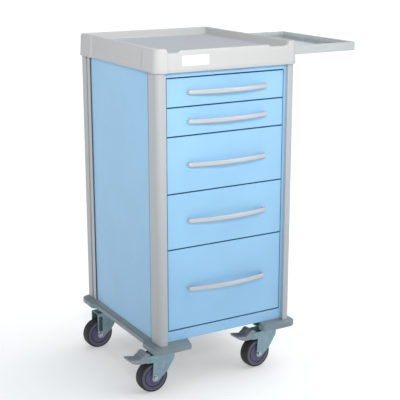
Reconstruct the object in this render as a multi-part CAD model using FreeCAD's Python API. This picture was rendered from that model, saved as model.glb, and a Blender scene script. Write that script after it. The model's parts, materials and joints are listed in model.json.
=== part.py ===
"""Medication cart: a narrow drawer cabinet on four swivel casters, with a moulded worktop tray and a
pull-out side shelf. Millimetres, +Z up, floor at z = 0.

Everything is first modelled on the cabinet's own centreline, with +X to the user's right and the drawer
fronts facing -Y. The finished parts are then shifted together, so that the origin is the middle of the
whole cart's box at floor level.
"""
import FreeCAD, Part
import math
import os

V = FreeCAD.Vector

# ---- driving dimensions -------------------------------------------------------------------------
# cabinet
SHEET = 1.5                      # folded sheet steel
FRONT_Y = -263.0                 # plane of the drawer fronts
COLUMN_INNER_X = 216.0
COLUMN_OUTER_X = 243.5
COLUMN_BOTTOM = 171.5
COLUMN_TOP = 1030.0
COLUMN_WALL = 2.5
COLUMN_CORNER = 17.0             # outer front corner
REAR_CORNER = 15.0
FRONT_COLUMN = (-275.0, -215.0)  # front and rear face
REAR_COLUMN = (203.0, 275.0)
GROOVE = (223.0, 234.0)          # accessory groove in each rear column
GROOVE_DEPTH = 15.0
SIDE_PANEL_X = 239.5
BACK_PANEL_Y = 270.0
PANEL_FLANGE = 14.0
BODY_BOTTOM = 176.5
FRAME_DEPTH = 25.0
TOP_PANEL_HALF = (240.0, 272.0)
UPRIGHT_X = (204.2, 237.8)
UPRIGHT_WIDTH = 30.0
UPRIGHT_WALL = 2.0

# base
PAN_HALF = 225.0
PAN_LIP = 16.0
PAN_FOOT_X = (168.0, 214.0)      # pressed-down feet that stand on the rails
RAIL_X = (165.0, 224.0)
RAIL_HALF_LENGTH = 252.0
RAIL_WALL = 3.0
RAIL_BOTTOM = 144.0
RAIL_TOP = COLUMN_BOTTOM

# drawers, bottom to top, in modules of one thin drawer
MODULE = 88.0
DRAWER_MODULES = (3, 2, 2, 1, 1)
DRAWERS_BOTTOM = 212.5
FRONT_GAP = 4.0                  # between two fronts
FRONT_HALF = 206.5
FRONT_DEPTH = 16.0
DRAWER_SHEET = 1.2
BOX_HALF = 190.0
BOX_BACK_Y = 192.0
BOX_HEM = 10.0                   # height of the doubled edge round a box
BOX_ABOVE_FRONT = 8.0            # box floor above the front's lower edge
BOX_BELOW_FRONT = 16.0           # box rim below the front's upper edge
SIDE_CLEARANCE = 2.0             # front to frame
RUNNER_Y = (-235.0, 205.0)
RUNNER_WALL = 2.0
RUNNER_HALF = 13.0
SLIDE_HALF = 17.0
SLIDE_ABOVE_BOX = 24.0

# handles
HANDLE_HALF = 141.0
HANDLE_BOW = 34.0                # from the front to the outside of the bar
HANDLE_FOOT = 18.0
HANDLE_GAP = 24.0                # finger room in the middle
HANDLE_HEIGHT = 14.0
HANDLE_PAD = 20.0                # length of each foot on the front
HANDLE_TURN = 8.0
HANDLE_ROUNDING = 4.0

# worktop tray
TRAY_HALF = 249.5
TRAY_Y = (-283.0, 282.0)
TRAY_BOTTOM = 1022.0
TRAY_TOP = 1093.0
TRAY_DRAFT = 4.0
TRAY_CORNER = 27.0
TRAY_FLOOR = 1069.0
TRAY_UNDERSIDE = 1066.0
TRAY_RIM = 18.0
TRAY_SKIRT = 3.5
BLOCK_STEP = 1.2                 # how far the corner blocks stand proud
BLOCK_SIDE = 100.0
BLOCK_FRONT = 38.0
FRONT_RIM_TOP = 1085.5
NOTCH_FLOOR = 1079.0
POST_INNER_X = 213.0             # where the front notches end at the corner posts
RAISED_RIM_X = (-171.0, 146.0)
LABEL_X = (-163.0, -72.0)
LABEL_Z = (1040.0, 1070.0)
LABEL_THICK = 0.9

# side shelf, drawn out to the right
SHELF_X = (170.0, 550.0)
SHELF_Y = (-184.0, 234.0)
SHELF_Z = (1037.0, 1065.0)
SHELF_RAIL = 12.0
SHELF_COVE = 5.0
SHELF_LIP = 14.0
SHELF_PANEL = (1037.6, 1040.6)
GUIDE_Z = (1032.0, TRAY_UNDERSIDE)
GUIDE_X = (-150.0, 243.0)
GUIDE_OUTSIDE = 4.0              # how far a guide reaches past the shelf's edge
GUIDE_INSIDE = 8.0
GUIDE_GAP = 0.6

# bumpers
BUMPER_Z = (148.0, 171.5)
BUMPER_SIDE_X = 252.5
BUMPER_CORNER_X = 265.5
BUMPER_END_Y = 289.0
BUMPER_TIP_X = 135.0
BUMPER_INNER = (228.0, 255.0)    # inner outline, beside and in front of the rails
BUMPER_BULGE_Y = 196.0           # where the wide corners start
BUMPER_STEP = 9.0                # height of the proud lower band
BUMPER_SETBACK = 3.0
BUMPER_LIP_Y = (-262.5, -256.0)  # raised lip that fills the gap under the drawer frame

# casters
WHEEL_RADIUS = 51.0
WHEEL_WIDTH = 36.0
HUB_RADIUS = 42.0
AXLE_RADIUS = 5.0
TRAIL = 46.0
PLATE_THICK = 4.0
PLATE_HALF = (42.0, 36.0)
BOLT_SPOT = (20.0, 29.0)
BOLT_RADIUS = 4.0
FORK_TOP = 129.0
FORK_INSIDE = 20.5
FORK_SHEET = 2.5
RACE_RADIUS = 29.0
KINGPIN_RADIUS = 6.0
RUNNING_CLEARANCE = 0.05
BOSS_RADIUS = 11.0
HUB_GROOVE = (28.0, 31.5)
HUB_GROOVE_DEPTH = 2.5
PEDAL_PIVOT = (-66.0, 116.0)
PEDAL_PIN = 3.0
PEDAL_HALF = 22.0
CASTERS = {                      # swivel axis x, y and the heading at rest, degrees
    "front_left": (-195.0, -207.0, 3.0),
    "front_right": (195.0, -207.0, 6.0),
    "rear_left": (-195.0, 207.0, 4.0),
    "rear_right": (195.0, 207.0, 8.0),
}
BRAKED = ("front_left", "front_right")

parts = {}


# ---- helpers ------------------------------------------------------------------------------------
def block(x0, x1, y0, y1, z0, z1):
    """Box between two corners."""
    return Part.makeBox(x1 - x0, y1 - y0, z1 - z0, V(x0, y0, z0))


def rod(radius, x, y, z0, z1):
    """Upright cylinder."""
    return Part.makeCylinder(radius, z1 - z0, V(x, y, z0))


def cross_rod(radius, x, z, y0, y1):
    """Cylinder along Y."""
    return Part.makeCylinder(radius, y1 - y0, V(x, y0, z), V(0, 1, 0))


def outline(points, level, axis):
    """Closed wire square to axis through (a, b, corner radius) points, with an arc at each corner."""
    place = {
        "x": lambda a, b: V(level, a, b),
        "y": lambda a, b: V(a, level, b),
        "z": lambda a, b: V(a, b, level),
    }[axis]
    corners = []
    for i, (a, b, radius) in enumerate(points):
        here = place(a, b)
        before = place(*points[i - 1][:2]) - here
        after = place(*points[(i + 1) % len(points)][:2]) - here
        before.normalize()
        after.normalize()
        if radius == 0:
            corners.append((here, here, here))
            continue
        half = before.getAngle(after) / 2
        middle = before + after
        middle.normalize()
        reach = radius / math.tan(half)
        inset = radius / math.sin(half) - radius
        corners.append((here + before * reach, here + middle * inset, here + after * reach))
    edges = []
    for i, (start, middle, end) in enumerate(corners):
        last = corners[i - 1][2]
        if last.distanceToPoint(start) > 1e-6:
            edges.append(Part.makeLine(last, start))
        if start.distanceToPoint(end) > 1e-6:
            edges.append(Part.Arc(start, middle, end).toShape())
    return Part.Wire(edges)


def prism(points, low, high, axis="z"):
    """Outline extruded from low to high along its axis."""
    along = {"x": V(1, 0, 0), "y": V(0, 1, 0), "z": V(0, 0, 1)}[axis]
    return Part.Face(outline(points, low, axis)).extrude(along * (high - low))


def rectangle(x0, x1, y0, y1, radius=0.0):
    """Outline points of a rectangle with equal corners."""
    return [(x0, y0, radius), (x1, y0, radius), (x1, y1, radius), (x0, y1, radius)]


def hexagon(radius, a, b):
    """Outline points of a hexagon round a centre."""
    turns = [math.radians(60 * i) for i in range(6)]
    return [(a + radius * math.cos(turn), b + radius * math.sin(turn), 0) for turn in turns]


def mirrored(shape):
    """The same part for the other side of the cart."""
    return shape.mirror(V(0, 0, 0), V(1, 0, 0))


def keep(name, *solids):
    """Store one node: a single solid, or a group of separate ones."""
    parts[name] = solids[0] if len(solids) == 1 else Part.makeCompound(list(solids))


# ---- cabinet ------------------------------------------------------------------------------------
def front_column():
    """Hollow extrusion with a large outer corner, for the right side."""
    front, back = FRONT_COLUMN
    wall = COLUMN_WALL
    x0 = COLUMN_INNER_X + wall
    x1 = COLUMN_OUTER_X - wall
    skin = [(COLUMN_INNER_X, front, 1.5), (COLUMN_OUTER_X, front, COLUMN_CORNER),
            (COLUMN_OUTER_X, back, 1.5), (COLUMN_INNER_X, back, 1.5)]
    core = [(x0, front + wall, 1.0), (x1, front + wall, COLUMN_CORNER - wall),
            (x1, back - wall, 1.0), (x0, back - wall, 1.0)]
    return prism(skin, COLUMN_BOTTOM, COLUMN_TOP).cut(prism(core, COLUMN_BOTTOM, COLUMN_TOP))


def rear_column():
    """Hollow extrusion with an accessory groove in its outer side, for the right side."""
    front, back = REAR_COLUMN
    wall = COLUMN_WALL
    skin = [(COLUMN_INNER_X, front, 1.5), (COLUMN_OUTER_X, front, 1.5),
            (COLUMN_OUTER_X, back, REAR_CORNER), (COLUMN_INNER_X, back, 1.5)]
    x0 = COLUMN_INNER_X + wall
    x1 = COLUMN_OUTER_X - wall
    front_core = rectangle(x0, x1, front + wall, GROOVE[0] - wall, 1.0)
    rear_core = [(x0, GROOVE[1] + wall, 1.0), (x1, GROOVE[1] + wall, 1.0),
                 (x1, back - wall, REAR_CORNER - wall), (x0, back - wall, 1.0)]
    mouth = rectangle(COLUMN_OUTER_X - GROOVE_DEPTH, COLUMN_OUTER_X + 5, *GROOVE)
    shape = prism(skin, COLUMN_BOTTOM, COLUMN_TOP)
    for hollow in (front_core, rear_core, mouth):
        shape = shape.cut(prism(hollow, COLUMN_BOTTOM, COLUMN_TOP))
    return shape


def side_panel():
    """Sheet with folded front and rear edges, between the two right-hand columns."""
    y0 = FRONT_COLUMN[1]
    y1 = REAR_COLUMN[0]
    skin = block(SIDE_PANEL_X - PANEL_FLANGE, SIDE_PANEL_X, y0, y1, COLUMN_BOTTOM + 1, COLUMN_TOP)
    inside = block(0, SIDE_PANEL_X - SHEET, y0 + SHEET, y1 - SHEET, 0, COLUMN_TOP + 1)
    return skin.cut(inside)


def back_panel():
    """Rear sheet with folded side edges, between the rear columns."""
    half = COLUMN_INNER_X
    skin = block(-half, half, BACK_PANEL_Y - PANEL_FLANGE, BACK_PANEL_Y, BODY_BOTTOM, COLUMN_TOP)
    inside = block(SHEET - half, half - SHEET, 0, BACK_PANEL_Y - SHEET, 0, COLUMN_TOP + 1)
    return skin.cut(inside)


def front_frame():
    """Folded channel frame round the drawer opening, flush with the drawer fronts."""
    half = COLUMN_INNER_X
    opening = FRONT_HALF + SIDE_CLEARANCE
    low = DRAWERS_BOTTOM - FRONT_GAP / 2
    high = drawers_top() + FRONT_GAP / 2
    top = COLUMN_TOP - 2
    back = FRONT_Y + FRAME_DEPTH
    shape = block(-half, half, FRONT_Y, back, BODY_BOTTOM, top)
    channel = block(SHEET - half, half - SHEET, FRONT_Y + SHEET, back, BODY_BOTTOM + SHEET, top - SHEET)
    lining = block(-opening - SHEET, opening + SHEET, FRONT_Y, back, low - SHEET, high + SHEET)
    window = block(-opening, opening, FRONT_Y - 1, back + 1, low, high)
    return shape.cut(channel.cut(lining)).cut(window)


def base_pan():
    """Sheet that closes the cabinet's floor, with raised front and rear lips and two pressed-down feet."""
    half = PAN_HALF
    y0 = FRONT_Y + FRAME_DEPTH + 1
    y1 = BACK_PANEL_Y - PANEL_FLANGE - 1
    floor_z = BODY_BOTTOM + SHEET
    shape = block(-half, half, y0, y1, BODY_BOTTOM, BODY_BOTTOM + PAN_LIP)
    shape = shape.cut(block(-half, half, y0 + SHEET, y1 - SHEET, floor_z, 400))
    x0, x1 = PAN_FOOT_X
    foot = block(x0, x1, y0, y1, RAIL_TOP, floor_z)
    room = block(x0 + SHEET, x1 - SHEET, y0 - 1, y1 + 1, RAIL_TOP + SHEET, floor_z)
    for turn in (lambda solid: solid, mirrored):
        shape = shape.fuse(turn(foot)).cut(turn(room))
        shape = shape.cut(turn(block(COLUMN_INNER_X - 1, half, y0, FRONT_COLUMN[1] + 1, 0, 400)))
        shape = shape.cut(turn(block(COLUMN_INNER_X - 1, half, REAR_COLUMN[0] - 1, y1, 0, 400)))
    return shape.removeSplitter()


def base_rail():
    """Box section under the right side of the pan, which carries two casters."""
    x0, x1 = RAIL_X
    end = RAIL_HALF_LENGTH
    wall = RAIL_WALL
    tube = prism(rectangle(x0, x1, RAIL_BOTTOM, RAIL_TOP, 4.0), -end, end, "y")
    core = rectangle(x0 + wall, x1 - wall, RAIL_BOTTOM + wall, RAIL_TOP - wall, 2.0)
    return tube.cut(prism(core, -end - 1, end + 1, "y"))


def top_panel():
    """Sheet that closes the top of the cabinet and carries the tray and the shelf guides."""
    x, y = TOP_PANEL_HALF
    return prism(rectangle(-x, x, -y, y, 12.0), COLUMN_TOP, GUIDE_Z[0])


def slide_upright(y):
    """Upright U-channel that the drawer runners screw to, on the right side."""
    x0, x1 = UPRIGHT_X
    wall = UPRIGHT_WALL
    skin = block(x0, x1, y, y + UPRIGHT_WIDTH, BODY_BOTTOM + SHEET, COLUMN_TOP)
    return skin.cut(block(x0 + wall, x1 + 1, y + wall, y + UPRIGHT_WIDTH - wall, 0, COLUMN_TOP + 1))


# ---- drawers ------------------------------------------------------------------------------------
def drawers_top():
    """Middle of the gap line above the top drawer."""
    return DRAWERS_BOTTOM + MODULE * sum(DRAWER_MODULES)


def drawer_levels():
    """(low, high) gap lines of each drawer, numbered from the top."""
    levels = []
    low = DRAWERS_BOTTOM
    for modules in DRAWER_MODULES:
        levels.append((low, low + modules * MODULE))
        low += modules * MODULE
    return levels[::-1]


def drawer_front(z0, z1):
    """Folded pan: a face with four returned edges."""
    rim = DRAWER_SHEET
    back = FRONT_Y + FRONT_DEPTH
    skin = block(-FRONT_HALF, FRONT_HALF, FRONT_Y, back, z0, z1)
    front_edges = [e for e in skin.Edges if abs(e.BoundBox.YMax - FRONT_Y) < 0.01]
    skin = skin.makeFillet(1.6, front_edges)
    return skin.cut(block(rim - FRONT_HALF, FRONT_HALF - rim, FRONT_Y + rim, back + 1, z0 + rim, z1 - rim))


def drawer_box(z0, z1):
    """Open-topped box, its walls doubled over along the upper edge."""
    y0 = FRONT_Y + FRONT_DEPTH
    wall = DRAWER_SHEET
    box = block(-BOX_HALF, BOX_HALF, y0, BOX_BACK_Y, z0, z1)
    for thick, low, high in ((wall, z0 + wall, z1 - BOX_HEM), (2 * wall, z0 + wall, z1 + 1)):
        box = box.cut(block(thick - BOX_HALF, BOX_HALF - thick, y0 + thick, BOX_BACK_Y - thick, low, high))
    return box


def drawer_slide(z):
    """Moving slide member on the right side of a box: a strip with a tongue that runs in the rail."""
    y0, y1 = RUNNER_Y
    strip = block(BOX_HALF, BOX_HALF + 3, y0, BOX_BACK_Y, z - SLIDE_HALF, z + SLIDE_HALF)
    tongue = block(BOX_HALF + 3, 201.0, y0 + 4, y1 - 13, z - 9, z + 9)
    pocket = block(BOX_HALF + 3, 199.0, y0 + 3, y1, z - 7, z + 7)
    return strip.fuse(tongue.cut(pocket)).removeSplitter()


def drawer_runner(z):
    """Fixed C-section rail on the right-hand uprights."""
    x0 = BOX_HALF + 4
    x1 = UPRIGHT_X[0]
    y0, y1 = RUNNER_Y
    skin = block(x0, x1, y0, y1, z - RUNNER_HALF, z + RUNNER_HALF)
    room = RUNNER_HALF - RUNNER_WALL - 0.5
    return skin.cut(block(x0 - 1, x1 - RUNNER_WALL, y0 - 1, y1 + 1, z - room, z + room))


def bow(half_chord, chord_y, depth, z0, z1):
    """Upright cylinder through both ends of a chord along X and a point in front of its middle."""
    radius = (half_chord ** 2 + depth ** 2) / (2 * depth)
    return rod(radius, 0, chord_y - depth + radius, z0, z1)


def drawer_handle(z):
    """Bow handle: a bar that arches forward between two feet on the drawer front."""
    z0 = z - HANDLE_HEIGHT / 2
    z1 = z + HANDLE_HEIGHT / 2
    foot_y = FRONT_Y - HANDLE_FOOT
    bar = block(-HANDLE_HALF, HANDLE_HALF, FRONT_Y - 100, FRONT_Y, z0, z1)
    bar = bar.common(bow(HANDLE_HALF, foot_y, HANDLE_BOW - HANDLE_FOOT, z0, z1))
    bar = bar.cut(bow(HANDLE_HALF - HANDLE_PAD, FRONT_Y, HANDLE_GAP, z0, z1))
    corners = [e for e in bar.Edges if e.BoundBox.ZLength > 10 and e.BoundBox.YMax < FRONT_Y - 10]
    bar = bar.makeFillet(HANDLE_TURN, corners)
    rims = [e for e in bar.Edges if e.BoundBox.ZLength < 0.01
            and e.BoundBox.YMin < foot_y + 9 and e.BoundBox.YMax < FRONT_Y - 5]
    return bar.makeFillet(HANDLE_ROUNDING, rims)


def make_drawers():
    """Five drawers, numbered from the top, and the fixed rails that they run in."""
    runners = []
    for number, (low, high) in enumerate(drawer_levels(), 1):
        z0 = low + FRONT_GAP / 2
        z1 = high - FRONT_GAP / 2
        name = "drawer_%d_" % number
        keep(name + "front", drawer_front(z0, z1))
        keep(name + "box", drawer_box(z0 + BOX_ABOVE_FRONT, z1 - BOX_BELOW_FRONT))
        keep(name + "handle", drawer_handle((z0 + z1) / 2))
        slide_z = z0 + BOX_ABOVE_FRONT + SLIDE_ABOVE_BOX
        slide = drawer_slide(slide_z)
        keep(name + "slides", slide, mirrored(slide))
        runner = drawer_runner(slide_z)
        runners += [runner, mirrored(runner)]
    keep("drawer_runners", *runners)


# ---- worktop and side shelf ---------------------------------------------------------------------
def tray_skin(grow):
    """Drafted outer solid of the tray, grown outward by a small step."""
    x = TRAY_HALF + grow
    y0 = TRAY_Y[0] - grow
    y1 = TRAY_Y[1] + grow
    wires = []
    for inset, z in ((0.0, TRAY_BOTTOM), (TRAY_DRAFT, TRAY_TOP)):
        points = rectangle(-x + inset, x - inset, y0 + inset, y1 - inset, TRAY_CORNER)
        wires.append(outline(points, z, "z"))
    return Part.makeLoft(wires, True, True)


def front_rim_cut():
    """What is taken off the front rim: two notches beside a raised middle part."""
    x0 = -POST_INNER_X
    x1 = POST_INNER_X
    ramp = 8.0
    start, end = RAISED_RIM_X
    points = [(x0, NOTCH_FLOOR, 12.0), (start - ramp, NOTCH_FLOOR, 5.0), (start, FRONT_RIM_TOP, 3.0),
              (end, FRONT_RIM_TOP, 3.0), (end + ramp, NOTCH_FLOOR, 5.0), (x1, NOTCH_FLOOR, 12.0),
              (x1, TRAY_TOP + 5, 0.0), (x0, TRAY_TOP + 5, 0.0)]
    return prism(points, TRAY_Y[0] - 5, TRAY_Y[0] + TRAY_RIM + 12, "y")


def worktop_tray():
    """Moulded tray: recessed floor, raised rim, corner blocks and a hollow skirt with a shelf slot."""
    skin = tray_skin(0.0)
    proud = tray_skin(BLOCK_STEP)
    ends = ((TRAY_Y[0] - 5, TRAY_Y[0] + BLOCK_SIDE), (TRAY_Y[1] - BLOCK_SIDE, TRAY_Y[1] + 5))
    for x0, x1 in ((-TRAY_HALF - 5, BLOCK_FRONT - TRAY_HALF), (TRAY_HALF - BLOCK_FRONT, TRAY_HALF + 5)):
        for y0, y1 in ends:
            skin = skin.fuse(proud.common(block(x0, x1, y0, y1, 0, 2000)))
    skin = skin.removeSplitter()
    rim = TRAY_RIM + TRAY_DRAFT / 2
    recess = prism(rectangle(rim - TRAY_HALF, TRAY_HALF - rim, TRAY_Y[0] + rim, TRAY_Y[1] - rim, 18.0),
                   TRAY_FLOOR, TRAY_TOP + 5)
    floor_edges = [e for e in recess.Edges if e.BoundBox.ZMax < TRAY_FLOOR + 0.01]
    recess = recess.makeFillet(7.0, floor_edges)
    wall = TRAY_SKIRT + 1
    under = prism(rectangle(wall - TRAY_HALF, TRAY_HALF - wall, TRAY_Y[0] + wall, TRAY_Y[1] - wall, 17.0),
                  TRAY_BOTTOM - 5, TRAY_UNDERSIDE)
    slot = block(200, TRAY_HALF + 10, SHELF_Y[0] - 1, SHELF_Y[1] + 1, SHELF_Z[0] - 1, TRAY_UNDERSIDE)
    return skin.cut(recess).cut(front_rim_cut()).cut(under).cut(slot)


def label_plate():
    """Thin blank plate on the tray's front, which follows the draft."""
    place = block(*LABEL_X, TRAY_Y[0] - 5, TRAY_Y[0] + 10, *LABEL_Z)
    return tray_skin(LABEL_THICK).common(place).cut(tray_skin(0.0))


def side_shelf_frame():
    """Shelf frame with a lip and a shadow cove round its inner faces."""
    x0, x1 = SHELF_X
    y0, y1 = SHELF_Y
    z0, z1 = SHELF_Z
    rail = SHELF_RAIL
    deep = SHELF_RAIL - SHELF_COVE
    shape = prism(rectangle(x0, x1, y0, y1, 3.0), z0, z1)
    shape = shape.cut(block(x0 + rail, x1 - rail, y0 + rail, y1 - rail, z0 - 1, z1 + 1))
    return shape.cut(block(x0 + deep, x1 - deep, y0 + deep, y1 - deep, SHELF_PANEL[0], z1 - SHELF_LIP))


def side_shelf_panel():
    """Flat panel held in the frame's cove."""
    deep = SHELF_RAIL - SHELF_COVE
    return block(SHELF_X[0] + deep, SHELF_X[1] - deep, SHELF_Y[0] + deep, SHELF_Y[1] - deep, *SHELF_PANEL)


def shelf_guide(side):
    """Channel along X that holds one edge of the shelf, side -1 at the front and 1 at the rear."""
    edge = SHELF_Y[0] if side < 0 else SHELF_Y[1]
    x0, x1 = GUIDE_X
    y0, y1 = sorted((edge + side * GUIDE_OUTSIDE, edge - side * GUIDE_INSIDE))
    skin = block(x0, x1, y0, y1, *GUIDE_Z)
    y0, y1 = sorted((edge + side * GUIDE_GAP, edge - side * 2 * GUIDE_INSIDE))
    return skin.cut(block(x0 - 1, x1 + 1, y0, y1, SHELF_Z[0] - GUIDE_GAP, SHELF_Z[1] + GUIDE_GAP))


# ---- bumpers ------------------------------------------------------------------------------------
def bumper_band(inset, z0, z1):
    """One level of the left bumper: a C round the side of the base, bulging at both corners."""
    corner = -BUMPER_CORNER_X + inset
    side = -BUMPER_SIDE_X + inset
    end = BUMPER_END_Y - inset
    tip = -BUMPER_TIP_X - inset
    inner_x, inner = BUMPER_INNER
    bulge_end = BUMPER_BULGE_Y - inset
    bulge_start = bulge_end - 12.0
    points = [(tip, -inner, 2.0), (tip, -end, 9.0), (corner, -end, 30.0), (corner, -bulge_end, 9.0),
              (side, -bulge_start, 9.0), (side, bulge_start, 9.0), (corner, bulge_end, 9.0),
              (corner, end, 30.0), (tip, end, 9.0), (tip, inner, 2.0), (-inner_x, inner, 6.0),
              (-inner_x, -inner, 6.0)]
    return prism(points, z0, z1)


def left_bumper():
    """Protruding lower band under a set-back upper band, with a lip below the drawer frame."""
    z0, z1 = BUMPER_Z
    step = z0 + BUMPER_STEP
    upper = bumper_band(BUMPER_SETBACK, step, z1)
    top_edges = [e for e in upper.Edges if e.BoundBox.ZMin > z1 - 0.01 and outside_bumper(e)]
    upper = upper.makeFillet(4.0, top_edges)
    lip = block(0.5 - COLUMN_INNER_X, -BUMPER_TIP_X - 10.0, *BUMPER_LIP_Y, z1 - 1.0, BODY_BOTTOM - 0.5)
    return bumper_band(0.0, z0, step).fuse(upper).fuse(lip).removeSplitter()


def outside_bumper(edge):
    """Whether a top edge lies on the bumper's outer outline."""
    box = edge.BoundBox
    nearest, farthest = sorted((abs(box.YMin), abs(box.YMax)))
    on_end = nearest > BUMPER_INNER[1] + 1 and farthest > BUMPER_END_Y - 31.0
    return on_end or box.XMax < 8.0 - BUMPER_SIDE_X


# ---- casters ------------------------------------------------------------------------------------
def fork_outline():
    """Side view of a fork leg, relative to the swivel axis: a wide crown that tapers to the axle."""
    return [(-76.0, FORK_TOP, 1.5), (27.0, FORK_TOP, 1.5), (27.0, 106.0, 9.0), (0.0, 66.0, 60.0),
            (-35.0, 37.0, 10.5), (-57.0, 37.0, 10.5), (-51.0, 104.0, 3.0), (-76.0, 106.0, 3.0)]


def fork():
    """Pressed fork: two legs, a crown plate and the round ball race above it."""
    outer = FORK_INSIDE + FORK_SHEET
    body = prism(fork_outline(), -outer, outer, "y")
    room = block(-90, 60, -FORK_INSIDE, FORK_INSIDE, 0, FORK_TOP - 3.0)
    body = body.cut(room)
    race_top = RAIL_BOTTOM - PLATE_THICK - 0.5
    for radius, top in ((RACE_RADIUS, race_top - 3), (RACE_RADIUS - 4, race_top)):
        body = body.fuse(rod(radius, 0, 0, FORK_TOP, top))
    body = body.removeSplitter().cut(rod(KINGPIN_RADIUS + RUNNING_CLEARANCE, 0, 0, 100, 160))
    return body.cut(cross_rod(AXLE_RADIUS, -TRAIL, WHEEL_RADIUS, -outer - 1, outer + 1))


def braked_fork():
    """A fork cut open above its pedal's arm, with the holes for the pedal's pin."""
    pin_hole = cross_rod(PEDAL_PIN + RUNNING_CLEARANCE, *PEDAL_PIVOT, -40, 40)
    mouth = block(-90, -52, -FORK_INSIDE, FORK_INSIDE, 100, 160)
    return fork().cut(mouth).cut(pin_hole)


def tyre():
    """Tread ring with rounded shoulders."""
    half = WHEEL_WIDTH / 2
    ring = cross_rod(WHEEL_RADIUS, -TRAIL, WHEEL_RADIUS, -half, half)
    rims = [e for e in ring.Edges if abs(e.Length - 2 * math.pi * WHEEL_RADIUS) < 0.1]
    ring = ring.makeFillet(6.0, rims)
    return ring.cut(cross_rod(HUB_RADIUS, -TRAIL, WHEEL_RADIUS, -half - 1, half + 1))


def hub():
    """Wheel centre with a ring groove in each face and a boss round the axle."""
    half = WHEEL_WIDTH / 2 - 1.0
    boss = FORK_INSIDE - 0.6
    shape = cross_rod(HUB_RADIUS, -TRAIL, WHEEL_RADIUS, -half, half)
    shape = shape.fuse(cross_rod(BOSS_RADIUS, -TRAIL, WHEEL_RADIUS, -boss, boss))
    inner, outer = HUB_GROOVE
    for y0, y1 in ((-half, HUB_GROOVE_DEPTH - half), (half - HUB_GROOVE_DEPTH, half)):
        groove = cross_rod(outer, -TRAIL, WHEEL_RADIUS, y0, y1)
        shape = shape.cut(groove.cut(cross_rod(inner, -TRAIL, WHEEL_RADIUS, y0, y1)))
    return shape.cut(cross_rod(AXLE_RADIUS + RUNNING_CLEARANCE, -TRAIL, WHEEL_RADIUS, -30, 30))


def axle():
    """Bolt through the fork legs, with a hexagon head and nut."""
    face = FORK_INSIDE + FORK_SHEET
    shape = cross_rod(AXLE_RADIUS, -TRAIL, WHEEL_RADIUS, -face, face)
    flats = hexagon(7.5, -TRAIL, WHEEL_RADIUS)
    head = prism(flats, -face - 5, -face, "y")
    nut = prism(flats, face, face + 5, "y")
    return shape.fuse(head).fuse(nut).removeSplitter()


def brake_pedal():
    """Ribbed toe pedal that turns on a pin between the fork legs."""
    x, z = PEDAL_PIVOT
    profile = [(x + 9, z - 9, 7.0), (x + 9, z + 8, 6.0), (-66.0, 138.0, 4.0), (-75.0, 142.0, 3.0),
               (-100.0, pedal_top(-100.0), 9.0), (-135.5, pedal_top(-135.5), 0.8), (-135.5, 127.2, 0.8),
               (-129.0, 119.0, 5.0), (-116.0, 112.5, 12.0), (-100.0, 108.5, 20.0), (-78.0, 107.5, 6.0)]
    arm = FORK_INSIDE - 1.0
    edge = PEDAL_HALF + 1.0
    pin_end = FORK_INSIDE + FORK_SHEET + 1.0
    body = prism(profile, -PEDAL_HALF, PEDAL_HALF, "y")
    for y0, y1 in ((-edge, -arm), (arm, edge)):
        body = body.cut(block(-80.0, 0, y0, y1, 0, 200))
    body = body.fuse(cross_rod(PEDAL_PIN, x, z, -pin_end, pin_end)).removeSplitter()
    for i in range(5):
        groove_x = -88.0 - 9.0 * i
        floor = pedal_top(groove_x) - 1.2
        body = body.cut(block(groove_x - 1.2, groove_x + 1.2, -edge, edge, floor, 200))
    return body


def pedal_top(x):
    """Height of the pedal's upper face: steep below the heel, then climbing gently to the tip."""
    return 123.0 + max(0.77 * (x + 100.0), -0.2 * (x + 100.0))


def caster_plate():
    """Mounting plate with its riveted kingpin and the washer below the crown."""
    top = RAIL_BOTTOM
    half_x, half_y = PLATE_HALF
    plate = prism(rectangle(-half_x, half_x, -half_y, half_y, 8.0), top - PLATE_THICK, top)
    pin = rod(KINGPIN_RADIUS, 0, 0, 118.0, top - PLATE_THICK)
    washer = rod(11.0, 0, 0, 119.5, FORK_TOP - 3.5)
    shape = plate.fuse(pin).fuse(washer).removeSplitter()
    for x, y in plate_bolts():
        shape = shape.cut(rod(BOLT_RADIUS + 0.2, x, y, 100, 160))
    return shape


def plate_bolts():
    """Bolt positions round one swivel axis. They stay under the base rail."""
    along, across = BOLT_SPOT
    return [(x, y) for x in (-along, along) for y in (-across, across)]


def caster_bolt(x, y):
    """Hexagon bolt up into the base rail's lower wall."""
    low = RAIL_BOTTOM - PLATE_THICK
    head = prism(hexagon(6.0, x, y), low - BOLT_RADIUS, low)
    return head.fuse(rod(BOLT_RADIUS, x, y, low, RAIL_BOTTOM)).removeSplitter()


def make_casters():
    """Four casters in place, each turned to its own heading, with their fixed plates and bolts."""
    plates = []
    bolts = []
    for name, (x, y, heading) in CASTERS.items():
        pieces = {"fork": braked_fork() if name in BRAKED else fork(), "tyre": tyre(), "hub": hub(),
                  "axle": axle()}
        if name in BRAKED:
            pieces["brake_pedal"] = brake_pedal()
        for piece, shape in pieces.items():
            shape.rotate(V(0, 0, 0), V(0, 0, 1), heading)
            shape.translate(V(x, y, 0))
            keep(name + "_" + piece, shape)
        plate = caster_plate()
        plate.translate(V(x, y, 0))
        plates.append(plate)
        for bolt_x, bolt_y in plate_bolts():
            bolts.append(caster_bolt(x + bolt_x, y + bolt_y))
    keep("caster_plates", *plates)
    keep("caster_bolts", *bolts)


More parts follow.
